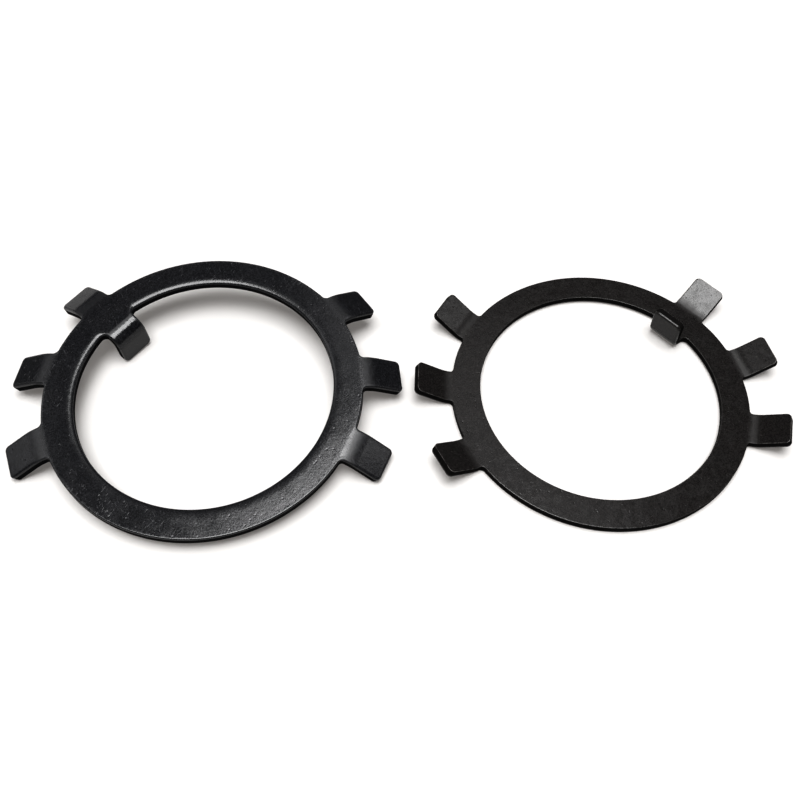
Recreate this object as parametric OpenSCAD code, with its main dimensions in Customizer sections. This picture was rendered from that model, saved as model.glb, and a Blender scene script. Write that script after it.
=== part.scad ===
// A pair of tab washers for a slotted round nut on a 39 mm thread, in millimetres.
// Each washer is punched from one sheet and then folded: a flat ring, six outer tabs in two
// groups of three, and one inner tab that runs in a groove along the shaft.
// The left washer is turned over and stands on its tabs. The right one lies on its ring.
// +Z is up, and the origin is on the surface below them, in the middle of the pair's footprint.

/* [Sheet] */
// Thickness of the sheet
sheet_t = 1.4; // [1:0.1:2]
// Radius of the rounding that the punch leaves along the edges of the side it enters
edge_roll_r = 0.45; // [0.2:0.05:0.5]
// Thickness that the sheet loses where it is stretched round a fold
fold_thinning = 0.02; // [0.01:0.01:0.05]

/* [Ring] */
// Diameter of the bore
bore_d = 39.5; // [38.5:0.1:40.5]
// Outer diameter of the ring
ring_d = 48.8; // [47:0.1:50]

/* [Outer tabs] */
// Angle from one tab to the next in a group
tab_pitch = 30; // [24:1:34]
// Angle between the two groups, on the side where the plain stretch of ring is shorter
group_gap = 105; // [85:5:125]
// Width of an outer tab
tab_w = 5.6; // [4.6:0.1:6.6]
// Diameter over the tips of the outer tabs in the flat sheet, before they are folded
blank_d = 62; // [59:0.5:65]
// Angle that the outer tabs are folded out of the ring's plane
tab_fold = 30; // [15:1:40]
// Radius inside the fold of an outer tab
tab_fold_r = 1.5; // [0.8:0.1:2.5]
// Radius of the inside corner where an outer tab leaves the ring
tab_root_r = 0.6; // [0.3:0.1:1]
// Radius of the corners at the tip of an outer tab
tab_corner_r = 0.8; // [0.6:0.1:1.4]

/* [Inner tab] */
// Width of the inner tab
key_w = 5.4; // [4.4:0.1:6.4]
// Height of the inner tab's tip above the face of the ring that it is folded towards
key_h = 4.8; // [4:0.1:6]
// Angle that the inner tab is folded out of the ring's plane
key_fold = 87; // [75:1:90]
// Radius inside the fold of the inner tab
key_fold_r = 0.8; // [0.5:0.1:1.4]
// Radius of the inside corner where the inner tab leaves the bore
key_root_r = 0.8; // [0.4:0.1:1.2]
// Radius of the corners at the tip of the inner tab
key_corner_r = 0.9; // [0.6:0.1:1.4]

/* [Placement] */
// Distance from one washer's centre to the other's
spacing = 63; // [62:0.5:80]
// Direction of the inner tab on the washer that stands on its tabs, counter-clockwise from +X
down_turn = 140; // [0:1:359]
// Direction of the inner tab on the washer that lies on its ring, counter-clockwise from +X
up_turn = 41; // [0:1:359]

/* [Hidden] */
$fn = 96;
// Facets in a preview of the small roundings
edge_fn = 24;

blue_black = [0.14, 0.14, 0.16];
brown_black = [0.17, 0.155, 0.15];

// Each group has this many outer tabs
tabs_per_group = 3;
// Middle of the pair's footprint along X, measured from halfway between the washers' centres
footprint_mid_x = -0.026;

// A fold runs this many degrees into the flat metal at each of its ends
fold_lap = 1;
// A root's rounding is cut this much too large, so that its ends run into the metal
root_overcut = 0.002;
// Cutters reach this far past the faces that they cut
clear = 0.3;

bore_r = bore_d / 2;
ring_r = ring_d / 2;
ring_w = ring_r - bore_r;
half_t = sheet_t / 2;
// A tab's flat root is buried this deep in the ring
root_depth = ring_w / 3;

// Directions of the outer tabs counter-clockwise, with the inner tab at 0
tab_angles = [
    for (i = [tabs_per_group - 1 : -1 : 0]) -i * tab_pitch,
    for (i = [0 : tabs_per_group - 1]) group_gap + i * tab_pitch
];
last_tab = len(tab_angles) - 1;

// Folds are measured to the middle of the sheet
tab_mid_r = tab_fold_r + half_t;
key_mid_r = key_fold_r + half_t;

// A root's rounding touches the ring's edge and the tab's side, and the fold starts where it ends.
// The turn is the angle from the tab's middle to the point where the rounding touches the ring
tab_root_y = tab_w / 2 + tab_root_r;
tab_fold_x = sqrt(pow(ring_r + tab_root_r, 2) - pow(tab_root_y, 2));
tab_root_turn = atan(tab_root_y / tab_fold_x);
key_root_y = key_w / 2 + key_root_r;
key_fold_x = sqrt(pow(bore_r - key_root_r, 2) - pow(key_root_y, 2));
key_root_turn = atan(key_root_y / key_fold_x);

// How far the tip's edge, on the inside of the fold, lies above the sheet's middle and past the
// fold's start, when the blade beyond the fold has the given length
function tip_rise(mid_r, fold, blade) = mid_r * (1 - cos(fold)) + blade * sin(fold) + half_t * cos(fold);
function tip_run(mid_r, fold, blade) = (mid_r - half_t) * sin(fold) + blade * cos(fold);

// Lengths of the straight blades beyond the folds
tab_blade = blank_d / 2 - tab_fold_x - tab_mid_r * tab_fold * PI / 180;
key_blade = (key_h + half_t - tip_rise(key_mid_r, key_fold, 0)) / sin(key_fold);

// A washer that is turned over rests on its inner tab and on the outermost tab of each group.
// Each foot is the corner of the tip that comes lowest, at the sideways distance given
function foot(direction, along, sideways, rise) = [
    along * cos(direction) - sideways * sin(direction),
    along * sin(direction) + sideways * cos(direction),
    -rise
];
tab_foot_x = tab_fold_x + tip_run(tab_mid_r, tab_fold, tab_blade);
tab_foot_y = tab_w / 2 - tab_corner_r;
tab_foot_h = tip_rise(tab_mid_r, tab_fold, tab_blade);
key_foot_x = key_fold_x - tip_run(key_mid_r, key_fold, key_blade);
key_foot_y = key_w / 2 - key_corner_r;
key_foot_h = tip_rise(key_mid_r, key_fold, key_blade);
near_foot = foot(-tab_angles[0], tab_foot_x, tab_foot_y, tab_foot_h);
far_foot = foot(-tab_angles[last_tab], tab_foot_x, -tab_foot_y, tab_foot_h);
key_foot = foot(0, key_foot_x, key_foot_y, key_foot_h);
feet_normal = cross(near_foot - far_foot, key_foot - far_foot);
feet_up = feet_normal * sign(feet_normal[2]) / norm(feet_normal);
rest_tilt = acos(feet_up[2]);
tilt_axis = cross(feet_up, [0, 0, 1]);
rest_height = -feet_up * far_foot;

// Section across a strip of the sheet, w wide and t thick, with the rolled edges below
module strip_section(w, t) {
    translate([-w / 2, edge_roll_r - t / 2]) square([w, t - edge_roll_r]);
    translate([edge_roll_r - w / 2, -t / 2]) square([w - 2 * edge_roll_r, t]);
    for (side = [-1, 1])
        translate([side * (w / 2 - edge_roll_r), edge_roll_r - t / 2]) circle(edge_roll_r, $fn = edge_fn);
}

// The last stretch of such a section, from x = 0 out to the rolled edge at x = w
module rim_section(w) {
    intersection() {
        translate([0, -half_t]) square([w, sheet_t]);
        translate([w - sheet_t, 0]) strip_section(2 * sheet_t, sheet_t);
    }
}

// What the roll takes off a square edge at x = 0, with the metal on the -X side
module roll_section() {
    difference() {
        translate([-edge_roll_r, -half_t - clear]) square([edge_roll_r + clear, edge_roll_r + clear]);
        translate([-edge_roll_r, edge_roll_r - half_t]) circle(edge_roll_r, $fn = edge_fn);
    }
}

// The folded stretch of a tab, which starts at x = 0 and rises, with the rolled edges outside
module fold(w, mid_r, angle) {
    translate([0, 0, mid_r])
        rotate([90, 90, 0])
        rotate_extrude(start = -fold_lap, angle = angle + 2 * fold_lap)
        translate([mid_r, 0])
        rotate(90)
        strip_section(w - fold_thinning, sheet_t - fold_thinning);
}

// The straight stretch of a tab from x = 0 to its tip, with rounded corners
module blade(w, length, corner_r) {
    body_length = length - corner_r;
    rotate([90, 0, 90]) linear_extrude(body_length) strip_section(w, sheet_t);
    translate([body_length, 0, 0]) {
        rotate([90, 0, 0]) linear_extrude(w - 2 * corner_r, center = true) rim_section(corner_r);
        translate([0, w / 2 - corner_r, 0]) rotate_extrude(angle = 90) rim_section(corner_r);
        translate([0, corner_r - w / 2, 0]) rotate(-90) rotate_extrude(angle = 90) rim_section(corner_r);
    }
}

// A tab beyond its root, along +X from the fold's start at x = 0
module folded_tab(w, mid_r, angle, blade_length, corner_r) {
    fold(w, mid_r, angle);
    translate([0, 0, mid_r]) rotate([0, -angle, 0]) translate([0, 0, -mid_r])
        blade(w, blade_length, corner_r);
}

// Flat outline of a tab's root, from x = -depth to x = 0, with a rounding on each side.
// Each rounding spans from the tab's side to the direction ring_turn, where it meets the ring
module root_outline(w, depth, root_r, ring_turn) {
    translate([-depth, -w / 2]) square([depth, w]);
    for (side = [0, 1]) mirror([0, side]) translate([0, w / 2 + root_r]) difference() {
        polygon([
            [0, 0],
            [-(root_r + clear) * cos(ring_turn), -(root_r + clear) * sin(ring_turn)],
            [-depth, -root_r - clear],
            [0, -root_r - clear]
        ]);
        circle(root_r + root_overcut, $fn = edge_fn);
    }
}

module outer_root() {
    translate([tab_fold_x, 0])
        root_outline(tab_w, tab_fold_x - ring_r + root_depth, tab_root_r, tab_root_turn);
}

// The inner tab's root is drawn on the -X side of the bore, where the tab points along +X
module inner_root() {
    translate([-key_fold_x, 0])
        root_outline(key_w, bore_r + root_depth - key_fold_x, key_root_r, -key_root_turn);
}

module flat_outline() {
    difference() {
        circle(ring_r);
        circle(bore_r);
    }
    for (angle = tab_angles) rotate(angle) outer_root();
    rotate(180) inner_root();
}

// Rolls the ring's outer edge between one tab and the next, and the bore's edge round to the inner tab
module ring_rolls() {
    for (i = [0 : last_tab]) {
        next_angle = i < last_tab ? tab_angles[i + 1] : tab_angles[0] + 360;
        rotate(tab_angles[i] + tab_root_turn)
            rotate_extrude(angle = next_angle - tab_angles[i] - 2 * tab_root_turn)
            translate([ring_r, 0])
            roll_section();
    }
    rotate(key_root_turn)
        rotate_extrude(angle = 360 - 2 * key_root_turn)
        translate([bore_r, 0])
        mirror([1, 0])
        roll_section();
}

// One washer about its own centre, tabs up, with the sheet's middle at z = 0
module washer() {
    difference() {
        translate([0, 0, -half_t]) linear_extrude(sheet_t) flat_outline();
        ring_rolls();
    }
    for (angle = tab_angles)
        rotate(angle) translate([tab_fold_x, 0, 0])
            folded_tab(tab_w, tab_mid_r, tab_fold, tab_blade, tab_corner_r);
    rotate(180) translate([-key_fold_x, 0, 0])
        folded_tab(key_w, key_mid_r, key_fold, key_blade, key_corner_r);
}

// Turned over, it stands tilted on the tips of three tabs
module washer_tabs_down() {
    color(blue_black)
        translate([-spacing / 2 - footprint_mid_x, 0, rest_height])
        rotate(down_turn)
        rotate(a = rest_tilt, v = tilt_axis)
        rotate([180, 0, 0])
        washer();
}

// It lies flat on the side with the rolled edges
module washer_tabs_up() {
    color(brown_black)
        translate([spacing / 2 - footprint_mid_x, 0, half_t])
        rotate(up_turn)
        washer();
}

washer_tabs_down();
washer_tabs_up();
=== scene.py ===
"""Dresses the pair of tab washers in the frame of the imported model.

Each washer is one sheet of steel. Its flat outline is worked out first, the folds of its tabs are
applied to every point of that flat sheet, and the washer is then laid on the floor, or turned over
and stood on its tabs, as the part is. Sizes are named in millimetres and meshes are in metres.
"""
import logging
import math
from dataclasses import dataclass, field
from enum import Enum

import bmesh
import bpy
import numpy as np
from mathutils import Matrix, Vector


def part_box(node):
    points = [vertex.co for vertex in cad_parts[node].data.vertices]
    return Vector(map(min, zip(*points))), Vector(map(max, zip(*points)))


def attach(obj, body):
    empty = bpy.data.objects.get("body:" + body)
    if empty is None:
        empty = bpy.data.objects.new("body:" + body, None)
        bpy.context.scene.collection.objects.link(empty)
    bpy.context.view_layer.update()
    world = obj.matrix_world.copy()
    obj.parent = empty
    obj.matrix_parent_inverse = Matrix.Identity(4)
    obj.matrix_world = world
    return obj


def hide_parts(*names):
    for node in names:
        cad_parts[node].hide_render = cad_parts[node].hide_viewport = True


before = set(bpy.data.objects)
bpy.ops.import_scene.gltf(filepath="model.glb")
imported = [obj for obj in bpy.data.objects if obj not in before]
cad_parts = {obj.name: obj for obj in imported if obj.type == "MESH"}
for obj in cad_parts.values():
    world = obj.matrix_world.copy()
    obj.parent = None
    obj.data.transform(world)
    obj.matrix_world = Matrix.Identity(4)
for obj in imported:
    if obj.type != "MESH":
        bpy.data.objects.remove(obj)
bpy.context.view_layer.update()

LOG = logging.getLogger("tab_washers")

MM = 0.001
WELD_M = 2e-7
BODY = "root"
HALF_SPACING = 31.5
PAIR_SHIFT = 0.026
VIEW_GAMMA = 0.72

Array = np.ndarray
Triple = tuple[float, float, float]
Colour = Triple
Span = tuple[float, float]
Socket = bpy.types.NodeSocket


class Facing(Enum):
    """Which way a washer's tabs point."""

    UP = "up"
    DOWN = "down"


def turned(points: Array, degrees: float) -> Array:
    """Turns points of the flat sheet about the washer's centre.

    Args:
        points: Array of x and y pairs.
        degrees: Angle, counter-clockwise.

    Returns:
        The turned pairs.
    """
    cos, sin = math.cos(math.radians(degrees)), math.sin(math.radians(degrees))
    return points @ np.array([[cos, sin], [-sin, cos]])


def arc(radius: float, start: float, end: float, steps: int) -> Array:
    """Points of a circle about the washer's centre, (r cos a, r sin a) with a from start to end.

    Args:
        radius: Radius of the circle.
        start: First angle in degrees.
        end: Last angle in degrees.
        steps: Number of equal steps.

    Returns:
        Array of steps + 1 pairs.
    """
    angle = np.radians(np.linspace(start, end, steps + 1))
    return radius * np.stack([np.cos(angle), np.sin(angle)], axis=-1)


def ruled(first: Array, last: Array, steps: int) -> Array:
    """Grid between two lines of points: row k is first + (last - first) k / steps.

    Args:
        first: Points of the first row.
        last: Points of the last row.
        steps: Number of equal steps from one to the other.

    Returns:
        Array of steps + 1 rows.
    """
    share = np.linspace(0.0, 1.0, steps + 1)[:, None, None]
    return first + (last - first) * share


@dataclass(frozen=True)
class Tab:
    """One tab, drawn along +X in the flat sheet, and its fold.

    An outward tab has reach 1. The inner tab has reach -1, and its tip is nearer the centre.
    Ease is how far past its two ends the fold is felt, side_swell is the share by which the sheet
    widens inside it, and stretch is how much it coarsens the surface.
    """

    direction: float
    reach: int
    rim_radius: float
    width: float
    root_radius: float
    corner_radius: float
    fold_angle: float
    mid_radius: float
    blade: float
    half_sheet: float
    root_steps: int = 10
    degrees_per_step: float = 2.5
    blade_steps: int = 6
    corner_steps: int = 9
    side_swell: float = 0.012
    ease: float = 1.0
    stretch: float = 0.15

    @staticmethod
    def fold_start(rim_radius: float, reach: int, width: float, root_radius: float) -> float:
        """Distance from the centre at which the root's rounding ends and the fold starts.

        Args:
            rim_radius: Radius of the rim that the tab leaves.
            reach: 1 for an outward tab and -1 for the inner one.
            width: Width of the tab.
            root_radius: Radius of the rounding between the rim and the tab's side.

        Returns:
            The distance, from the rounding's centre touching both the rim and the side.
        """
        return math.sqrt((rim_radius + reach * root_radius) ** 2 - (width / 2 + root_radius) ** 2)

    @property
    def root_y(self) -> float:
        """Sideways distance of the root rounding's centre."""
        return self.width / 2 + self.root_radius

    @property
    def fold_x(self) -> float:
        """Distance from the centre at which the fold starts."""
        return self.fold_start(self.rim_radius, self.reach, self.width, self.root_radius)

    @property
    def root_turn(self) -> float:
        """Angle in degrees from the tab's middle to where its root's rounding touches the rim."""
        return math.degrees(math.atan2(self.root_y, self.fold_x))

    @property
    def fold_length(self) -> float:
        """Length of the folded stretch along the middle of the sheet."""
        return self.mid_radius * math.radians(self.fold_angle)

    @property
    def tip_x(self) -> float:
        """Distance of the tip from the centre in the flat sheet."""
        return self.fold_x + self.reach * (self.fold_length + self.blade)

    def half_outline(self) -> tuple[Array, Array, Array]:
        """Outline of the half on the -Y side, from the rim to the end of the tip's corner.

        The root is centre + r (cos a, sin a) from the rim round to the tab's side, the side is a
        straight line, and the corner is a quarter circle.

        Returns:
            Points, unit normals that point off the metal, and how far each point has left the rim,
            from 0 on the rim to 1 on the tab's side.
        """
        start = math.pi - math.radians(self.root_turn) if self.reach > 0 else -math.radians(self.root_turn)
        angle = np.linspace(start, math.pi / 2, self.root_steps + 1)
        spoke = np.stack([np.cos(angle), np.sin(angle)], axis=-1)
        root = np.array([self.fold_x, -self.root_y]) + self.root_radius * spoke
        leaving = np.linspace(0.0, 1.0, self.root_steps + 1)

        fold_steps = round(self.fold_angle / self.degrees_per_step)
        fold_end = self.fold_length + self.ease
        fold_u = np.linspace(0.0, fold_end, fold_steps + 1)[1:]
        blade_end = self.fold_length + self.blade - self.corner_radius
        blade_u = np.linspace(fold_end, blade_end, self.blade_steps + 1)[1:]
        along = np.concatenate([fold_u, blade_u])
        side = np.stack([self.fold_x + self.reach * along, np.full_like(along, -self.width / 2)], axis=-1)
        side_normal = np.tile([0.0, -1.0], (len(along), 1))

        centre = [self.tip_x - self.reach * self.corner_radius, self.corner_radius - self.width / 2]
        turn = np.linspace(0.0, math.pi / 2, self.corner_steps + 1)[1:]
        corner_normal = np.stack([self.reach * np.sin(turn), -np.cos(turn)], axis=-1)
        corner = np.array(centre) + self.corner_radius * corner_normal

        points = np.concatenate([root, side, corner])
        normals = np.concatenate([-spoke, side_normal, corner_normal])
        left = np.concatenate([leaving, np.ones(len(points) - len(leaving))])
        return points, normals, left

    def outline(self, columns: int) -> tuple[Array, Array, Array]:
        """Whole outline in the flat sheet, from one end of the root round the tip to the other.

        Args:
            columns: Number of steps across the tip.

        Returns:
            Points and normals, turned to the tab's direction, and how far each point has left the rim.
        """
        points, normals, left = self.half_outline()
        flip = np.array([1.0, -1.0])
        tip = ruled(points[-1:], points[-1:] * flip, columns)[1:-1, 0]
        tip_normal = np.tile(normals[-1], (columns - 1, 1))
        all_points = np.concatenate([points, tip, (points * flip)[::-1]])
        all_normals = np.concatenate([normals, tip_normal, (normals * flip)[::-1]])
        all_left = np.concatenate([left, np.ones(columns - 1), left[::-1]])
        return turned(all_points, self.direction), turned(all_normals, self.direction), all_left

    def face(self, roll: "Roll", columns: int) -> Array:
        """Flat face inside the edges, ruled from the inset outline of one side to the other.

        The first line across the inner tab follows the circle through its ends, and the next ones
        flatten, so that no line crosses another.

        Args:
            roll: The edge of the rim that the tab leaves, which sets the inset.
            columns: Number of steps across the tab.

        Returns:
            Grid of pairs, with the sheet's root at the first point of each row.
        """
        points, normals, left = self.half_outline()
        low = points - normals * roll.inset(left)[:, None]
        grid = ruled(low, low * np.array([1.0, -1.0]), columns)
        if self.reach < 0:
            across = grid[:, 0, 1]
            bow = np.sqrt(np.hypot(*low[0]) ** 2 - across**2) - low[0, 0]
            flatten = np.clip(1.0 - np.arange(len(low)) / self.root_steps, 0.0, 1.0) ** 2
            grid[..., 0] += bow[:, None] * flatten
        return turned(grid, self.direction)

    def sharp_fold(self, u: Array, z: Array) -> Array:
        """Folds along one arc of the sheet's middle, of radius R.

        With u the distance past the fold's start and a = u / R, held between 0 and the fold angle,
        a point goes along by (R - z) sin a and rises to R - (R - z) cos a. What lies before and
        past the arc stays straight.

        Args:
            u: Distance of each point past the fold's start.
            z: Height of each point from the sheet's middle.

        Returns:
            How far along each point comes, how high, and its share of the fold angle.
        """
        full = math.radians(self.fold_angle)
        bend = np.clip(u / self.mid_radius, 0.0, full)
        before, past = np.minimum(u, 0.0), np.maximum(u - self.fold_length, 0.0)
        lever = self.mid_radius - z
        along = before + lever * np.sin(bend) + past * np.cos(bend)
        height = self.mid_radius - lever * np.cos(bend) + past * np.sin(bend)
        return np.stack([along, height, bend / full])

    def fold(self, points: Array) -> tuple[Array, Array]:
        """Folds this tab's share of the flat sheet upward.

        The map is a quarter, a half and a quarter of the sharp fold taken a little after, at and
        a little before each point, which eases into the bend and leaves the blade where it was.
        The inside of the fold swells sideways and the outside draws in.

        Args:
            points: Points of the flat sheet, with z from its middle.

        Returns:
            The folded points, and how much the fold has coarsened the sheet's surface there.
        """
        x, y = turned(points[:, :2], -self.direction).T
        z = points[:, 2]
        u = self.reach * (x - self.fold_x)
        mine = (u > -self.ease) & (x > 0) & (np.abs(y) < self.width)
        late, on, early = (self.sharp_fold(u + shift, z) for shift in (-self.ease, 0.0, self.ease))
        along, height, turn = (late + on + on + early) / 4
        share = np.where(mine, np.sin(math.pi * turn), 0.0)
        new_y = y * (1.0 + self.side_swell * share * z / self.half_sheet)
        share = share * self.stretch
        flat = np.column_stack([self.fold_x + self.reach * along, new_y])
        new = np.column_stack([turned(flat, self.direction), height])
        return np.where(mine[:, None], new, points), share

    def foot(self, sideways: float) -> Array:
        """Corner of the folded tip that a turned-over washer stands on, in its mirrored frame.

        Args:
            sideways: 1 or -1 for the side of the tip.

        Returns:
            The point, with the tip's rise downward.
        """
        angle = math.radians(self.fold_angle)
        rise = self.mid_radius * (1 - math.cos(angle)) + self.blade * math.sin(angle)
        rise += self.half_sheet * math.cos(angle)
        run = (self.mid_radius - self.half_sheet) * math.sin(angle) + self.blade * math.cos(angle)
        flat = np.array([[self.fold_x + self.reach * run, sideways * (self.width / 2 - self.corner_radius)]])
        return np.append(turned(flat, -self.direction)[0], -rise)


@dataclass(frozen=True)
class Roll:
    """The rounding that the punch leaves where it enters: gentle at the face, steep at the wall.

    Along a tab's root it changes from the rim's size to the tab's, and is smaller in the corner.
    """

    rim_width: float
    rim_depth: float
    tab_width: float = 0.45
    tab_depth: float = 0.43
    root_loss: float = 0.35
    margin: float = 0.06

    def ease(self, left: Array) -> Array:
        """Smooth change from 0 on the rim to 1 on the tab: t t (3 - 2 t).

        Args:
            left: How far each point has left the rim.

        Returns:
            The eased values.
        """
        return left * left * (3.0 - 2.0 * left)

    def inset(self, left: Array) -> Array:
        """Distance from the outline at which a face is flat.

        Args:
            left: How far each point has left the rim.

        Returns:
            The distances.
        """
        return self.rim_width + (self.tab_width - self.rim_width) * self.ease(left) + self.margin

    def section(self, left: Array, steps: int) -> tuple[Array, Array]:
        """Section from the wall to the face: height is depth (1 - sqrt(1 - (1 - s)^3)), s = d / width.

        Args:
            left: How far each point has left the rim.
            steps: Number of steps from the wall to the face.

        Returns:
            Depths behind the outline and heights above the face, a row for each point.
        """
        size = 1.0 - self.root_loss * np.sin(np.pi * left)
        width = (self.inset(left) - self.margin) * size
        depth = (self.rim_depth + (self.tab_depth - self.rim_depth) * self.ease(left)) * size
        angle = np.linspace(0.0, math.pi / 2, steps + 1)
        s = 1.0 - np.cos(angle) ** (2.0 / 3.0)
        return width[:, None] * s, depth[:, None] * (1.0 - np.sin(angle))


class SheetMesh:
    """Collects grids of flat points and joins them into one closed, folded mesh."""

    def __init__(self) -> None:
        """Starts with no grids."""
        self.points: list[Array] = []
        self.edges: list[Array] = []
        self.quads: list[Array] = []
        self.finishes: list[Array] = []
        self.count = 0

    def add(self, grid: Array, edge: Array, wall: slice = slice(0, 0)) -> None:
        """Adds one grid of quads.

        Args:
            grid: Array of rows, columns and x, y, z in the flat sheet.
            edge: Distance of each point from the sheet's cut edge.
            wall: Columns of quads that are the cut wall, which has a finish of its own.
        """
        rows, columns = grid.shape[:2]
        index = np.arange(rows * columns).reshape(rows, columns) + self.count
        quads = np.stack([index[:-1, :-1], index[1:, :-1], index[1:, 1:], index[:-1, 1:]], axis=-1)
        self.points.append(grid.reshape(-1, 3))
        self.edges.append(edge.reshape(-1))
        self.quads.append(quads.reshape(-1, 4))
        finish = np.zeros(quads.shape[:2], dtype=np.int32)
        finish[:, wall] = 1
        self.finishes.append(finish.reshape(-1))
        self.count += rows * columns

    def build(self, name: str, tabs: list[Tab], place: Array) -> bpy.types.Object:
        """Folds every tab, places the washer and makes the object.

        Args:
            name: Name of the object.
            tabs: The tabs to fold.
            place: Four by four matrix from the washer's own frame to the row's, in millimetres.

        Returns:
            The object, with its place in its mesh.
        """
        flat = np.concatenate(self.points)
        folded = flat
        bent = np.zeros(len(flat))
        for tab in tabs:
            folded, share = tab.fold(folded)
            bent = np.maximum(bent, share)
        placed = (folded @ place[:3, :3].T + place[:3, 3]) * MM

        mesh = bpy.data.meshes.new(name)
        mesh.from_pydata(placed, [], np.concatenate(self.quads).tolist())
        mesh.polygons.foreach_set("material_index", np.concatenate(self.finishes))
        values = {"edge_mm": np.concatenate(self.edges), "bent": bent}
        for key, value in values.items():
            mesh.attributes.new(key, "FLOAT", "POINT").data.foreach_set("value", value.astype(np.float32))
        flat_m = (flat * MM).astype(np.float32).ravel()
        mesh.attributes.new("flat", "FLOAT_VECTOR", "POINT").data.foreach_set("vector", flat_m)

        work = bmesh.new()
        work.from_mesh(mesh)
        bmesh.ops.remove_doubles(work, verts=work.verts, dist=WELD_M)
        bmesh.ops.recalc_face_normals(work, faces=work.faces)
        work.to_mesh(mesh)
        work.free()
        mesh.polygons.foreach_set("use_smooth", np.ones(len(mesh.polygons), dtype=bool))
        mesh.update()
        item = bpy.data.objects.new(name, mesh)
        bpy.context.scene.collection.objects.link(item)
        return item


@dataclass
class TabWasher:
    """One tab washer, about its own centre with its tabs up and the sheet's middle at z = 0."""

    name: str
    node: str
    slot: str
    facing: Facing
    centre_x: float
    turn: float

    sheet: float = 1.4
    bore_radius: float = 19.75
    ring_radius: float = 24.4
    tab_pitch: float = 30.0
    group_gap: float = 105.0
    tabs_per_group: int = 3
    tab_width: float = 5.6
    blank_radius: float = 31.0
    tab_fold: float = 30.0
    tab_fold_radius: float = 1.5
    tab_root_radius: float = 0.6
    tab_corner_radius: float = 0.8
    key_width: float = 5.4
    key_height: float = 4.8
    key_fold: float = 87.0
    key_fold_radius: float = 0.8
    key_root_radius: float = 0.8
    key_corner_radius: float = 0.9

    rim_roll: Roll = Roll(0.27, 0.27)
    bore_roll: Roll = Roll(1.50, 0.42)
    burr_radius: float = 0.07
    edge_support: float = 0.12
    face_edge_mm: float = 2.0

    columns: int = 10
    ring_rows: int = 6
    degrees_per_column: float = 1.0
    burr_steps: int = 4
    wall_steps: int = 3
    roll_steps: int = 12

    tabs: list[Tab] = field(init=False)
    key: Tab = field(init=False)

    def __post_init__(self) -> None:
        """Works out the tabs from the sizes."""
        half = self.sheet / 2
        angles = [-i * self.tab_pitch for i in reversed(range(self.tabs_per_group))]
        angles += [self.group_gap + i * self.tab_pitch for i in range(self.tabs_per_group)]
        mid = self.tab_fold_radius + half
        start = Tab.fold_start(self.ring_radius, 1, self.tab_width, self.tab_root_radius)
        blade = self.blank_radius - start - mid * math.radians(self.tab_fold)
        self.tabs = [
            Tab(angle, 1, self.ring_radius, self.tab_width, self.tab_root_radius,
                self.tab_corner_radius, self.tab_fold, mid, blade, half)
            for angle in angles
        ]
        key_angle = math.radians(self.key_fold)
        key_mid = self.key_fold_radius + half
        bend_rise = key_mid * (1 - math.cos(key_angle)) + half * math.cos(key_angle)
        key_blade = (self.key_height + half - bend_rise) / math.sin(key_angle)
        self.key = Tab(0.0, -1, self.bore_radius, self.key_width, self.key_root_radius,
                       self.key_corner_radius, self.key_fold, key_mid, key_blade, half,
                       degrees_per_step=3.0, ease=0.5, stretch=1.0)

    def gaps(self) -> list[tuple[float, float, float, float, int]]:
        """Plain stretches of the ring from one tab to the next.

        Returns:
            For each, its first and last angle at the ring's edge, its first and last angle at the
            bore, and its number of columns.
        """
        found = []
        for i, tab in enumerate(self.tabs):
            after = self.tabs[(i + 1) % len(self.tabs)]
            next_angle = after.direction + (360.0 if i + 1 == len(self.tabs) else 0.0)
            here, there = (self.key if t.direction == self.key.direction else t for t in (tab, after))
            outer = (tab.direction + tab.root_turn, next_angle - after.root_turn)
            inner = (tab.direction + here.root_turn, next_angle - there.root_turn)
            columns = math.ceil((outer[1] - outer[0]) / self.degrees_per_column)
            found.append((*outer, *inner, columns))
        return found

    def rim_loops(self) -> list[tuple[Array, Array, Array]]:
        """The two closed outlines of the flat sheet, outside and inside.

        Returns:
            For each, points, normals off the metal and how far each point has left the rim.
        """
        outer, inner = [], []
        for tab, (start, end, bore_start, bore_end, columns) in zip(self.tabs, self.gaps()):
            outer.append(tab.outline(self.columns))
            ring = arc(1.0, start, end, columns)[1:-1]
            outer.append((ring * self.ring_radius, ring, np.zeros(len(ring))))
            if tab.direction == self.key.direction:
                inner.append(self.key.outline(self.columns))
            else:
                under = arc(1.0, tab.direction - tab.root_turn, tab.direction + tab.root_turn, self.columns)
                inner.append((under * self.bore_radius, -under, np.zeros(len(under))))
            bore = arc(1.0, bore_start, bore_end, columns)[1:-1]
            inner.append((bore * self.bore_radius, -bore, np.zeros(len(bore))))
        return [tuple(np.concatenate(part) for part in zip(*loop)) for loop in (outer, inner)]

    def edge_section(self, left: Array, roll: Roll) -> tuple[Array, Array]:
        """Section of the cut edge at each point of an outline, from the burr face to the rolled one.

        It is a small quarter circle, the straight wall, and the punch's roll.

        Args:
            left: How far each point of the outline has left the rim.
            roll: The punch's roll along this outline.

        Returns:
            Depths behind the outline and heights, a row for each point of the outline.
        """
        half = self.sheet / 2
        one = np.ones((len(left), 1))
        burr = np.linspace(0.0, math.pi / 2, self.burr_steps + 1)[None]
        burr_depth = self.burr_radius * (1 - np.sin(burr)) * one
        burr_height = (half - self.burr_radius * (1 - np.cos(burr))) * one
        roll_depth, roll_height = roll.section(left, self.roll_steps)
        roll_height = roll_height - half
        wall = ruled(burr_height[:, -1:], roll_height[:, :1], self.wall_steps)[1:-1, :, 0].T
        inset = roll.inset(left)[:, None]
        support = (self.burr_radius + self.edge_support) * one
        depth = [inset, support, burr_depth, 0 * wall, roll_depth, inset]
        height = [half * one, half * one, burr_height, wall, roll_height, -half * one]
        return np.concatenate(depth, axis=1), np.concatenate(height, axis=1)

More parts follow.
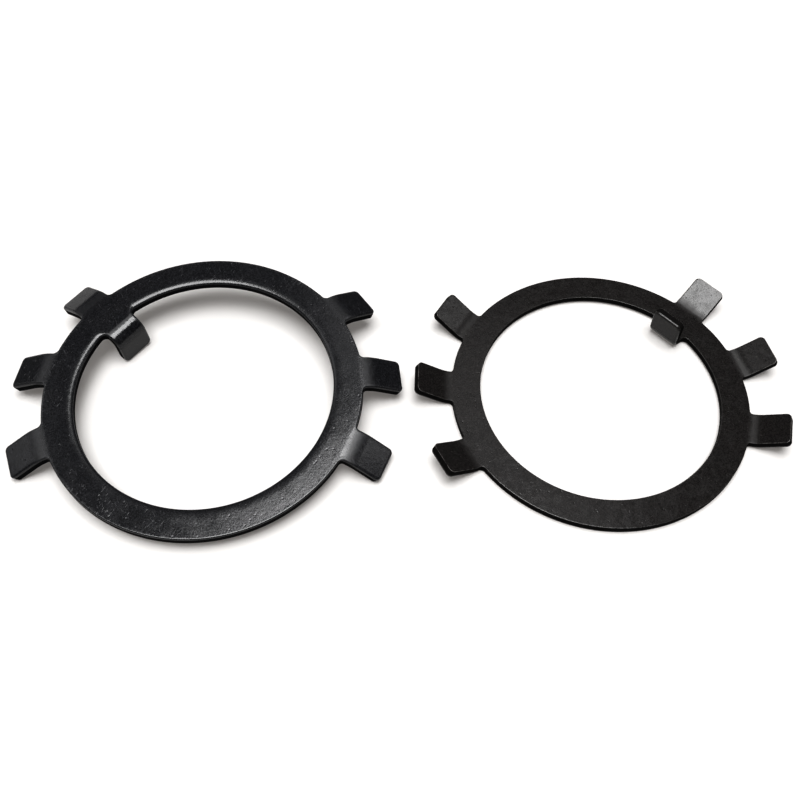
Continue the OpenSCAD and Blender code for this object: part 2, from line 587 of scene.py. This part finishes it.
    def add_edges(self, sheet: SheetMesh) -> None:
        """Carries the edge's section round both outlines: point - depth * normal, at its height.

        Args:
            sheet: The mesh to add to.
        """
        first_wall = 2 + self.burr_steps
        wall = slice(first_wall, first_wall + self.wall_steps)
        for (points, normals, left), roll in zip(self.rim_loops(), (self.rim_roll, self.bore_roll)):
            depth, height = self.edge_section(left, roll)
            flat = points[:, None] - depth[..., None] * normals[:, None]
            grid = np.concatenate([flat, height[..., None]], axis=-1)
            sheet.add(np.concatenate([grid, grid[:1]]), np.concatenate([depth, depth[:1]]), wall)

    def face_grids(self) -> list[Array]:
        """Flat grids that fill a face inside its edges: the tabs, and the ring's sectors.

        Returns:
            Grids of pairs.
        """
        key_face = self.key.face(self.bore_roll, self.columns)
        grids = [key_face]
        on_rim = np.zeros(1)
        ring = self.ring_radius - self.rim_roll.inset(on_rim)[0]
        bore = self.bore_radius + self.bore_roll.inset(on_rim)[0]
        for tab, (start, end, bore_start, bore_end, columns) in zip(self.tabs, self.gaps()):
            face = tab.face(self.rim_roll, self.columns)
            grids.append(face)
            under = arc(bore, tab.direction - tab.root_turn, tab.direction + tab.root_turn, self.columns)
            if tab.direction == self.key.direction:
                under = key_face[:, 0]
            grids.append(ruled(under, face[:, 0], self.ring_rows))
            first = arc(bore, bore_start, bore_end, columns)
            grids.append(ruled(first, arc(ring, start, end, columns), self.ring_rows))
        return grids

    def add_faces(self, sheet: SheetMesh) -> None:
        """Adds both faces of the sheet.

        Args:
            sheet: The mesh to add to.
        """
        for grid in self.face_grids():
            edge = np.full(grid.shape[:2], self.face_edge_mm)
            for height in (self.sheet / 2, -self.sheet / 2):
                level = np.full((*grid.shape[:2], 1), height)
                sheet.add(np.concatenate([grid, level], axis=-1), edge)

    def place(self) -> Array:
        """Matrix from the washer's own frame to the row's, in millimetres.

        With its tabs up it lies on the ring. Turned over it rests on three tips, the inner tab's
        and the outermost ones of the two groups: the plane through those three corners becomes
        the floor, which tilts the ring.

        Returns:
            The four by four matrix.
        """
        spin = Matrix.Rotation(math.radians(self.turn), 4, "Z")
        if self.facing is Facing.UP:
            return np.array(Matrix.Translation((self.centre_x, 0, self.sheet / 2)) @ spin)
        near, far, key = self.tabs[0].foot(1), self.tabs[-1].foot(-1), self.key.foot(1)
        normal = np.cross(near - far, key - far)
        up = Vector(normal * np.sign(normal[2])).normalized()
        level = up.rotation_difference(Vector((0, 0, 1))).to_matrix().to_4x4()
        height = -up.dot(Vector(far))
        flip = Matrix.Rotation(math.pi, 4, "X")
        return np.array(Matrix.Translation((self.centre_x, 0, height)) @ spin @ level @ flip)

    def build(self) -> bpy.types.Object:
        """Makes the washer's surface.

        Returns:
            The object, which stands for the washer's CAD node.
        """
        sheet = SheetMesh()
        self.add_edges(sheet)
        self.add_faces(sheet)
        item = sheet.build(self.name, [*self.tabs, self.key], self.place())
        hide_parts(self.node)
        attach(item, BODY)
        return item


class Graph:
    """A material's node tree, with short calls for the nodes that the finishes use."""

    def __init__(self, name: str) -> None:
        """Makes an empty material with its shader.

        Args:
            name: Name of the material.
        """
        self.material = bpy.data.materials.new(name)
        self.material.use_nodes = True
        self.tree = self.material.node_tree
        self.shader = self.tree.nodes["Principled BSDF"]

    def feed(self, socket: Socket, value: object) -> None:
        """Links a socket to another, or sets its value.

        Args:
            socket: The input.
            value: An output socket, a number, or a tuple.
        """
        if isinstance(value, Socket):
            self.tree.links.new(value, socket)
        else:
            socket.default_value = value

    def add(self, kind: str, inputs: dict, **settings: object) -> bpy.types.Node:
        """Adds a node.

        Args:
            kind: Type of the node, without its Shader prefix.
            inputs: Values or sockets for its inputs, by name or number.
            **settings: Properties of the node.

        Returns:
            The node.
        """
        node = self.tree.nodes.new("ShaderNode" + kind)
        for key, value in settings.items():
            setattr(node, key, value)
        for key, value in inputs.items():
            self.feed(node.inputs[key], value)
        return node

    def math(self, operation: str, a: object, b: object = 0.0) -> Socket:
        """One sum of two numbers.

        Args:
            operation: Name of the sum.
            a: First number.
            b: Second number.

        Returns:
            Its result.
        """
        return self.add("Math", {0: a, 1: b}, operation=operation).outputs[0]

    def attribute(self, name: str, output: str = "Fac") -> Socket:
        """Reads a value that the mesh carries.

        Args:
            name: Name of the attribute.
            output: Which output to read.

        Returns:
            Its value.
        """
        return self.add("Attribute", {}, attribute_name=name).outputs[output]

    def noise(self, vector: Socket, size_mm: float, detail: float = 2.0, rough: float = 0.5) -> Socket:
        """Soft noise.

        Args:
            vector: Coordinates in metres.
            size_mm: Size of its features.
            detail: How many finer layers it has.
            rough: Strength of the finer layers.

        Returns:
            A value round 0.5.
        """
        inputs = {"Vector": vector, "Scale": 1 / (size_mm * MM), "Detail": detail, "Roughness": rough}
        return self.add("TexNoise", inputs, noise_dimensions="3D").outputs["Fac"]

    def step(self, value: Socket, low: float, high: float, out: Span = (0.0, 1.0)) -> Socket:
        """Smooth step from one value to another.

        Args:
            value: What is read.
            low: Where the step starts.
            high: Where it ends.
            out: Results before and after the step.

        Returns:
            The result.
        """
        inputs = {"Value": value, "From Min": low, "From Max": high, "To Min": out[0], "To Max": out[1]}
        return self.add("MapRange", inputs, interpolation_type="SMOOTHSTEP").outputs["Result"]

    def blend(self, share: Socket, a: object, b: object) -> Socket:
        """Mixes two colours.

        Args:
            share: How much of the second.
            a: First colour.
            b: Second colour.

        Returns:
            The mixed colour.
        """
        inputs = {0: share}
        for key, value in ((6, a), (7, b)):
            inputs[key] = (*value, 1.0) if isinstance(value, tuple) else value
        return self.add("Mix", inputs, data_type="RGBA").outputs[2]

    def scaled(self, vector: Socket, turn: float, scale: Triple, shift: Triple = (0.0, 0.0, 0.0)) -> Socket:
        """Turns, stretches and shifts coordinates.

        Args:
            vector: Coordinates.
            turn: Angle about Z in degrees.
            scale: Factors along each axis, after the turn.
            shift: What is added after the turn, before the factors.

        Returns:
            The new coordinates.
        """
        inputs = {"Vector": vector, "Rotation": (0.0, 0.0, math.radians(turn)), "Location": shift}
        out = self.add("Mapping", inputs, vector_type="POINT").outputs[0]
        return self.add("VectorMath", {0: out, 1: scale}, operation="MULTIPLY").outputs[0]


@dataclass(frozen=True)
class BlackenedSteel:
    """Blackened sheet steel: grain, rolling lines, scratches, specks, pits, dull patches, rubbed rims with a
    painted highlight.

    Its patterns lie on the flat sheet's own coordinates, so that they follow the folds. A span holds
    the ends of a smooth step, and the shows say how much of the pale rubbed colour a mark takes on;
    on the burr rim that colour is also a painted highlight of the edge catching the light.
    """

    name: str
    deep: Colour
    patch: Colour
    # Pale colour of rubbed metal, scratches and specks, and of the painted highlight on the burr rim.
    rubbed_and_glint: Colour
    roughness: float
    grain_mm: float
    grain_depth_mm: float
    peel_mm: float
    peel_depth_mm: float
    fold_peel_depth_mm: float
    mottle_mm: float
    mottle_rough: float
    scratches: float
    rolling_turn: float
    shift: Triple
    specular: float = 0.48

    noise_span: Span = (0.32, 0.68)
    patch_mm: float = 6.0
    patch_span: Span = (0.4, 0.64)
    grain_shades: Span = (0.60, 1.40)
    scratch_show: float = 0.3
    speck_show: float = 0.4

    sheen_mm: float = 2.6
    sheen_rough: Span = (-0.02, 0.03)
    rubbed_smooth: float = 0.1
    fold_rough: float = 0.24
    slight_fold: Span = (0.0, 0.16)
    full_fold: Span = (0.45, 0.18)
    roll_rough: float = 0.09
    roll_coarse: float = 0.20
    roll_fade_mm: Span = (1.5, 0.3)
    roll_level_mm: Span = (0.1, -0.2)

    line_mm: float = 0.12
    line_squeeze: float = 0.03
    line_depth_mm: float = 0.0016
    scratch_mm: float = 0.12
    scratch_squeeze: float = 0.10
    scratch_turns: Span = (63.0, 118.0)
    scratch_depth_mm: float = 0.003
    scratch_group_mm: float = 4.0
    speck_cell_mm: float = 0.7
    speck_reach: Span = (0.13, 0.05)
    speck_chance: Span = (0.76, 0.8)
    pit_reach: Span = (0.30, 0.06)
    pit_chance: Span = (0.26, 0.2)
    pit_depth_mm: float = 0.012
    # The rubbed burr rim, which also carries a painted highlight of the edge catching the light.
    wear_glint_break_mm: float = 0.8
    wear_glint_edge_mm: Span = (0.13, 0.03)
    outer_tab_mm: Span = (25.5, 28.0)
    inner_tab_mm: Span = (18.6, 18.0)
    wear_glint_shares: Span = (0.16, 0.8)

    def material(self) -> bpy.types.Material:
        """Builds the finish.

        Returns:
            The material.
        """
        g = Graph(self.name)
        own = g.attribute("flat", "Vector")
        flat = g.add("VectorMath", {0: own, 1: self.shift}, operation="ADD").outputs[0]
        edge = g.attribute("edge_mm")
        bent = g.attribute("bent")
        level = g.add("SeparateXYZ", {0: own}).outputs["Z"]
        high, low = self.roll_level_mm
        below = g.step(level, high * MM, low * MM)
        rolled = g.math("MULTIPLY", g.step(edge, *self.roll_fade_mm), below)
        scratch = self.scratch(g, flat)
        speck, pit = self.specks(g, flat)
        # Pale burr rim: rubbed metal, and also a painted highlight of the edge catching the light.
        wear_and_glint = self.wear_and_glint(g, flat, edge, level)
        g.feed(g.shader.inputs["Base Color"], self.colour(g, flat, scratch, speck, wear_and_glint))
        g.feed(g.shader.inputs["Roughness"], self.rough(g, flat, bent, rolled, wear_and_glint))
        height = self.height(g, flat, bent, rolled, scratch, pit)
        bump = g.add("Bump", {"Height": height, "Distance": MM, "Strength": 1.0})
        g.feed(g.shader.inputs["Normal"], bump.outputs[0])
        g.shader.inputs["Specular IOR Level"].default_value = self.specular
        return g.material

    def colour(self, g: Graph, flat: Socket, scratch: Socket, speck: Socket, wear_and_glint: Socket) -> Socket:
        """Two tones of black in patches, shaded by the grain, and paler where something rubbed and where a
        highlight is painted on the burr rim.

        Args:
            g: The nodes.
            flat: Flat coordinates.
            scratch: 1 on a scratch.
            speck: 1 on a pale speck.
            wear_and_glint: How rubbed the rim is, and how much painted highlight it carries.

        Returns:
            The colour.
        """
        patches = g.step(g.noise(flat, self.patch_mm, detail=3.0, rough=0.6), *self.patch_span)
        colour = g.blend(patches, self.deep, self.patch)
        shade = g.step(g.noise(flat, self.grain_mm, rough=0.6), *self.noise_span, self.grain_shades)
        grey = g.add("CombineColor", {0: shade, 1: shade, 2: shade}).outputs[0]
        shaded = g.add("Mix", {0: 1.0, 6: colour, 7: grey}, data_type="RGBA", blend_type="MULTIPLY")
        colour = shaded.outputs[2]
        # Scratches and specks take on the pale colour; on the burr rim it is rubbed metal and also a painted
        # highlight.
        for mark, share in ((scratch, self.scratch_show), (speck, self.speck_show), (wear_and_glint, 1.0)):
            colour = g.blend(g.math("MULTIPLY", mark, share), colour, self.rubbed_and_glint)
        return colour

    def rough(self, g: Graph, flat: Socket, bent: Socket, rolled: Socket, wear_and_glint: Socket) -> Socket:
        """Roughness: uneven, duller in the mottle, on a slight fold and on the punch's roll.

        Args:
            g: The nodes.
            flat: Flat coordinates.
            bent: How coarse a fold has made it.
            rolled: 1 on the punch's roll.
            wear_and_glint: How rubbed the rim is, which smooths it; the same mask carries the painted
                highlight.

        Returns:
            The roughness.
        """
        span = tuple(self.roughness + part for part in self.sheen_rough)
        rough = g.step(g.noise(flat, self.sheen_mm, detail=3.0, rough=0.6), 0.3, 0.7, span)
        mottle = g.step(g.noise(flat, self.mottle_mm, detail=3.0, rough=0.65), *self.noise_span)
        slight = g.step(bent, *self.slight_fold, (0.0, self.fold_rough))
        for part, share in (
            (mottle, self.mottle_rough),
            (wear_and_glint, -self.rubbed_smooth),
            (slight, g.step(bent, *self.full_fold)),
            (rolled, self.roll_rough),
        ):
            rough = g.math("ADD", rough, g.math("MULTIPLY", part, share))
        return rough

    def height(self, g: Graph, flat: Socket, bent: Socket, rolled: Socket, scratch: Socket,
               pit: Socket) -> Socket:
        """Height in millimetres: grain, a coarser peel and rolling lines, less scratches and pits.

        Args:
            g: The nodes.
            flat: Flat coordinates.
            bent: How coarse a fold has made it.
            rolled: 1 on the punch's roll.
            scratch: 1 on a scratch.
            pit: 1 in a pit.

        Returns:
            The height.
        """
        height = g.math("MULTIPLY", g.noise(flat, self.grain_mm, rough=0.6), self.grain_depth_mm)
        coarse = g.math("MAXIMUM", bent, g.math("MULTIPLY", rolled, self.roll_coarse))
        depth = g.step(coarse, 0.0, 0.6, (self.peel_depth_mm, self.fold_peel_depth_mm))
        peel = g.math("MULTIPLY", g.noise(flat, self.peel_mm, rough=0.55), depth)
        lines_at = g.scaled(flat, self.rolling_turn, (self.line_squeeze, 1.0, 1.0))
        lines = g.math("MULTIPLY", g.noise(lines_at, self.line_mm, rough=0.6), self.line_depth_mm)
        height = g.math("ADD", g.math("ADD", height, peel), lines)
        for mark, deep in ((scratch, self.scratch_depth_mm), (pit, self.pit_depth_mm)):
            height = g.math("SUBTRACT", height, g.math("MULTIPLY", mark, deep))
        return height

    def scratch(self, g: Graph, flat: Socket) -> Socket:
        """Short fine scratches across the rolling, in loose groups.

        Args:
            g: The nodes.
            flat: Flat coordinates.

        Returns:
            1 on a scratch and 0 beside it.
        """
        low, high = (level - 0.06 * self.scratches for level in (0.76, 0.82))
        lines = []
        for turn in self.scratch_turns:
            squeeze = (self.scratch_squeeze, 1.0, 1.0)
            apart = (0.011, 0.007, turn * MM)
            at = g.scaled(flat, self.rolling_turn + turn, squeeze, apart)
            lines.append(g.step(g.noise(at, self.scratch_mm, detail=1.0, rough=0.4), low, high))
        group = g.step(g.noise(flat, self.scratch_group_mm, detail=1.0), 0.42, 0.58)
        return g.math("MULTIPLY", g.math("MAXIMUM", *lines), group)

    def specks(self, g: Graph, flat: Socket) -> tuple[Socket, Socket]:
        """Pale specks and dark pits, one or none in each cell of a loose pattern.

        Args:
            g: The nodes.
            flat: Flat coordinates.

        Returns:
            1 on a speck and 1 on a pit.
        """
        scale = 1 / (self.speck_cell_mm * MM)
        cell = g.add("TexVoronoi", {"Vector": flat, "Scale": scale, "Randomness": 1.0})
        away = cell.outputs["Distance"]
        chance = g.add("SeparateColor", {0: cell.outputs["Color"]}).outputs[0]
        speck = g.math("MULTIPLY", g.step(away, *self.speck_reach), g.step(chance, *self.speck_chance))
        pit = g.math("MULTIPLY", g.step(away, *self.pit_reach), g.step(chance, *self.pit_chance))
        return speck, pit

    def wear_and_glint(self, g: Graph, flat: Socket, edge: Socket, level: Socket) -> Socket:
        """Where handling has rubbed the sharp rim of the burr face, in broken stretches.

        The pale rim is also a painted highlight of the sharp edge catching the light. The tabs, told by the
        distance from the centre, stand proud and are rubbed more.

        Args:
            g: The nodes.
            flat: Flat coordinates.
            edge: Distance from the cut edge.
            level: Height in the sheet.

        Returns:
            How rubbed it is, with the painted highlight of the rim.
        """
        broken = g.step(g.noise(flat, self.wear_glint_break_mm, detail=3.0, rough=0.7), 0.36, 0.66)
        on_burr = g.step(level, 0.3 * MM, 0.6 * MM)
        rim = g.math("MULTIPLY", g.step(edge, *self.wear_glint_edge_mm), on_burr)
        radius = g.add("VectorMath", {0: flat, 1: self.shift}, operation="DISTANCE").outputs["Value"]
        spans = (self.outer_tab_mm, self.inner_tab_mm)
        tabs = [g.step(radius, first * MM, last * MM) for first, last in spans]
        share = g.step(g.math("MAXIMUM", *tabs), 0.0, 1.0, self.wear_glint_shares)
        return g.math("MULTIPLY", g.math("MULTIPLY", rim, broken), share)


@dataclass(frozen=True)
class CutWall:
    """The sheared wall of the sheet: dull, almost black, with fine streaks across the thickness."""

    name: str
    colour: Colour
    streak_mm: float = 0.14
    streak_depth_mm: float = 0.03
    streak_squeeze: float = 0.05
    streak_gain: float = 2.2
    roughness: float = 0.7
    specular: float = 0.02

    def material(self) -> bpy.types.Material:
        """Builds the finish.

        Returns:
            The material.
        """
        g = Graph(self.name)
        at = g.scaled(g.attribute("flat", "Vector"), 0.0, (1.0, 1.0, self.streak_squeeze))
        streak = g.noise(at, self.streak_mm, detail=3.0, rough=0.6)
        bright = tuple(self.streak_gain * part for part in self.colour)
        g.feed(g.shader.inputs["Base Color"], g.blend(g.step(streak, 0.45, 0.75), self.colour, bright))
        height = g.math("MULTIPLY", streak, self.streak_depth_mm)
        bump = g.add("Bump", {"Height": height, "Distance": MM, "Strength": 1.0})
        g.feed(g.shader.inputs["Normal"], bump.outputs[0])
        g.shader.inputs["Roughness"].default_value = self.roughness
        g.shader.inputs["Specular IOR Level"].default_value = self.specular
        return g.material


BLUE_BLACK = BlackenedSteel(
    name="blue_black_steel",
    deep=(0.0125, 0.0127, 0.0142),
    patch=(0.0145, 0.0146, 0.0160),
    rubbed_and_glint=(0.100, 0.100, 0.106),
    roughness=0.13,
    grain_mm=0.20,
    grain_depth_mm=0.0036,
    peel_mm=0.55,
    peel_depth_mm=0.006,
    fold_peel_depth_mm=0.045,
    mottle_mm=0.5,
    mottle_rough=0.02,
    scratches=1.0,
    rolling_turn=35.0,
    shift=(0.0, 0.0, 0.0),
)
BROWN_BLACK = BlackenedSteel(
    name="brown_black_steel",
    deep=(0.0142, 0.0130, 0.0126),
    patch=(0.0150, 0.0137, 0.0132),
    rubbed_and_glint=(0.110, 0.104, 0.100),
    roughness=0.15,
    grain_mm=0.20,
    grain_depth_mm=0.006,
    peel_mm=1.8,
    peel_depth_mm=0.035,
    fold_peel_depth_mm=0.045,
    mottle_mm=1.3,
    mottle_rough=0.07,
    scratches=0.3,
    rolling_turn=-12.0,
    shift=(0.31, 0.17, 0.05),
    specular=0.40,
)
CUT_BLACK = CutWall(name="cut_wall_black", colour=(0.0055, 0.0055, 0.0060))
CUT_BROWN = CutWall(name="cut_wall_brown", colour=(0.0065, 0.0060, 0.0058))


@dataclass(frozen=True)
class Softbox:
    """A rectangular flat light that points at the middle of the floor.

    Its place is given by the direction it is seen in, as x and y of a unit vector, and its half
    sides are the sines of the angles that they cover. Turn is the angle in degrees by which it is
    turned about the line from it to the floor's middle.
    """

    name: str
    toward: tuple[float, float]
    half_sides: tuple[float, float]
    radiance: float
    turn: float = 0.0
    distance: float = 1.5

    def build(self) -> None:
        """Makes the light: its power is radiance times pi times its area."""
        x, y = self.toward
        spoke = Vector((x, y, math.sqrt(1.0 - x * x - y * y)))
        width, height = (2.0 * self.distance * math.tan(math.asin(half)) for half in self.half_sides)
        light = bpy.data.lights.new(self.name, "AREA")
        light.shape = "RECTANGLE"
        light.size, light.size_y = width, height
        light.energy = self.radiance * math.pi * width * height
        item = bpy.data.objects.new(self.name, light)
        item.location = spoke * self.distance
        spin = Matrix.Rotation(math.radians(self.turn), 3, "Z")
        item.rotation_euler = ((-spoke).to_track_quat("-Z", "Y").to_matrix() @ spin).to_euler()
        bpy.context.scene.collection.objects.link(item)


@dataclass
class Studio:
    """The pale floor, the softboxes and the dim room round the washers."""

    floor_half: float = 2.0
    floor_drop: float = 0.00002
    floor_colour: Colour = (0.385, 0.382, 0.379)
    floor_glow: Colour = (0.225, 0.214, 0.205)
    floor_roughness: float = 0.75
    floor_specular: float = 0.2
    softboxes: tuple[Softbox, ...] = (
        Softbox("overhead_softbox", (-0.030, -0.060), (0.360, 0.304), 15.5, 66.0),
        Softbox("back_softbox", (0.13, 0.49), (0.19, 0.15), 1.25),
        Softbox("right_softbox", (0.78, 0.10), (0.13, 0.13), 2.8),
        Softbox("left_softbox", (-0.66, 0.27), (0.20, 0.25), 2.1),
        Softbox("low_left_softbox", (-0.92, 0.16), (0.13, 0.16), 1.0),
    )
    horizon: float = 0.45
    room: float = 0.11
    horizon_top: float = 0.62

    def build(self) -> None:
        """Makes the floor, the lights and the room."""
        self.build_floor()
        for softbox in self.softboxes:
            softbox.build()
        self.build_room()

    def build_floor(self) -> None:
        """A flat sheet just under the lowest point of the washers."""
        side = np.linspace(-self.floor_half, self.floor_half, 9)
        x, y = np.meshgrid(side, side)
        points = np.stack([x, y, np.full_like(x, -self.floor_drop)], axis=-1).reshape(-1, 3)
        index = np.arange(x.size).reshape(x.shape)
        quads = np.stack([index[:-1, :-1], index[:-1, 1:], index[1:, 1:], index[1:, :-1]], axis=-1)
        mesh = bpy.data.meshes.new("floor")
        mesh.from_pydata(points, [], quads.reshape(-1, 4).tolist())
        graph = Graph("pale_floor")
        values = {
            "Base Color": (*self.floor_colour, 1.0),
            "Roughness": self.floor_roughness,
            "Specular IOR Level": self.floor_specular,
            "Emission Color": (*self.floor_glow, 1.0),
            "Emission Strength": 1.0,
        }
        for key, value in values.items():
            graph.feed(graph.shader.inputs[key], value)
        mesh.materials.append(graph.material)
        item = bpy.data.objects.new("floor", mesh)
        bpy.context.scene.collection.objects.link(item)

    def build_room(self) -> None:
        """A dim room that grows paler from horizon_top, as z of a direction, down to the horizon."""
        world = bpy.data.worlds.new("room")
        world.use_nodes = True
        bpy.context.scene.world = world
        tree = world.node_tree
        coordinates = tree.nodes.new("ShaderNodeTexCoord")
        split = tree.nodes.new("ShaderNodeSeparateXYZ")
        fade = tree.nodes.new("ShaderNodeMapRange")
        fade.interpolation_type = "SMOOTHSTEP"
        ends = {"From Min": 0.0, "From Max": self.horizon_top, "To Min": self.horizon, "To Max": self.room}
        for key, value in ends.items():
            fade.inputs[key].default_value = value
        tree.links.new(coordinates.outputs["Generated"], split.inputs[0])
        tree.links.new(split.outputs["Z"], fade.inputs["Value"])
        tree.links.new(fade.outputs["Result"], tree.nodes["Background"].inputs["Strength"])


@dataclass
class PhotoCamera:
    """The camera that the photograph's outlines were fitted with, in an 800 pixel square frame."""

    position_mm: Triple = (-5.169, -78.612, 121.46)
    aim: Triple = (0.0769, 0.5864, -0.8064)
    roll: float = 4.72
    focal_pixels: float = 890.28
    centre_pixels: Span = (443.51, 351.24)
    frame_pixels: float = 800.0
    sensor_mm: float = 36.0
    clip: Span = (0.005, 20.0)

    def build(self) -> None:
        """Makes the camera and sets it as the scene's."""
        aim = Vector(self.aim).normalized()
        right = aim.cross(Vector((0, 0, 1))).normalized()
        up = right.cross(aim)
        turn = Matrix.Rotation(-math.radians(self.roll), 3, aim)
        right, up = turn @ right, turn @ up
        data = bpy.data.cameras.new("camera")
        data.sensor_width = self.sensor_mm
        data.lens = self.focal_pixels / self.frame_pixels * self.sensor_mm
        data.shift_x = 0.5 - self.centre_pixels[0] / self.frame_pixels
        data.shift_y = self.centre_pixels[1] / self.frame_pixels - 0.5
        data.clip_start, data.clip_end = self.clip
        item = bpy.data.objects.new("camera", data)
        rotation = Matrix((right, up, -aim)).transposed().to_4x4()
        item.matrix_world = Matrix.Translation(Vector(self.position_mm) * MM) @ rotation
        bpy.context.scene.collection.objects.link(item)
        bpy.context.scene.camera = item


def dress(washer: TabWasher, finish: BlackenedSteel, wall: CutWall) -> None:
    """Builds one washer, gives it its finishes and reports it.

    Args:
        washer: The washer.
        finish: Finish of its faces and edges.
        wall: Finish of its cut wall.
    """
    item = washer.build()
    item.data.materials.append(finish.material())
    item.data.materials.append(wall.material())
    triangles = len(item.data.loops) - 2 * len(item.data.polygons)
    corners = np.array(item.bound_box)
    box = np.array([corners.min(0), corners.max(0)])
    gap = np.abs(box - np.array(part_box(washer.node))).max() / MM
    LOG.info("%s: %d triangles, %.3f mm off its CAD node's box", item.name, triangles, gap)


def main() -> None:
    """Builds the washers, the studio and the camera."""
    logging.basicConfig(level=logging.INFO, format="%(message)s")
    PhotoCamera().build()
    LOG.info("camera placed")
    down = TabWasher("folded_washer_down", "washer_tabs_down", "blue_black_steel", Facing.DOWN,
                     PAIR_SHIFT - HALF_SPACING, 140.0)
    dress(down, BLUE_BLACK, CUT_BLACK)
    up = TabWasher("folded_washer_up", "washer_tabs_up", "brown_black_steel", Facing.UP,
                   PAIR_SHIFT + HALF_SPACING, 41.0)
    dress(up, BROWN_BLACK, CUT_BROWN)
    Studio().build()
    bpy.context.scene.view_settings.view_transform = "Standard"
    bpy.context.scene.view_settings.gamma = VIEW_GAMMA
    LOG.info("floor, softboxes and room built")


if __name__ == "__main__":
    main()
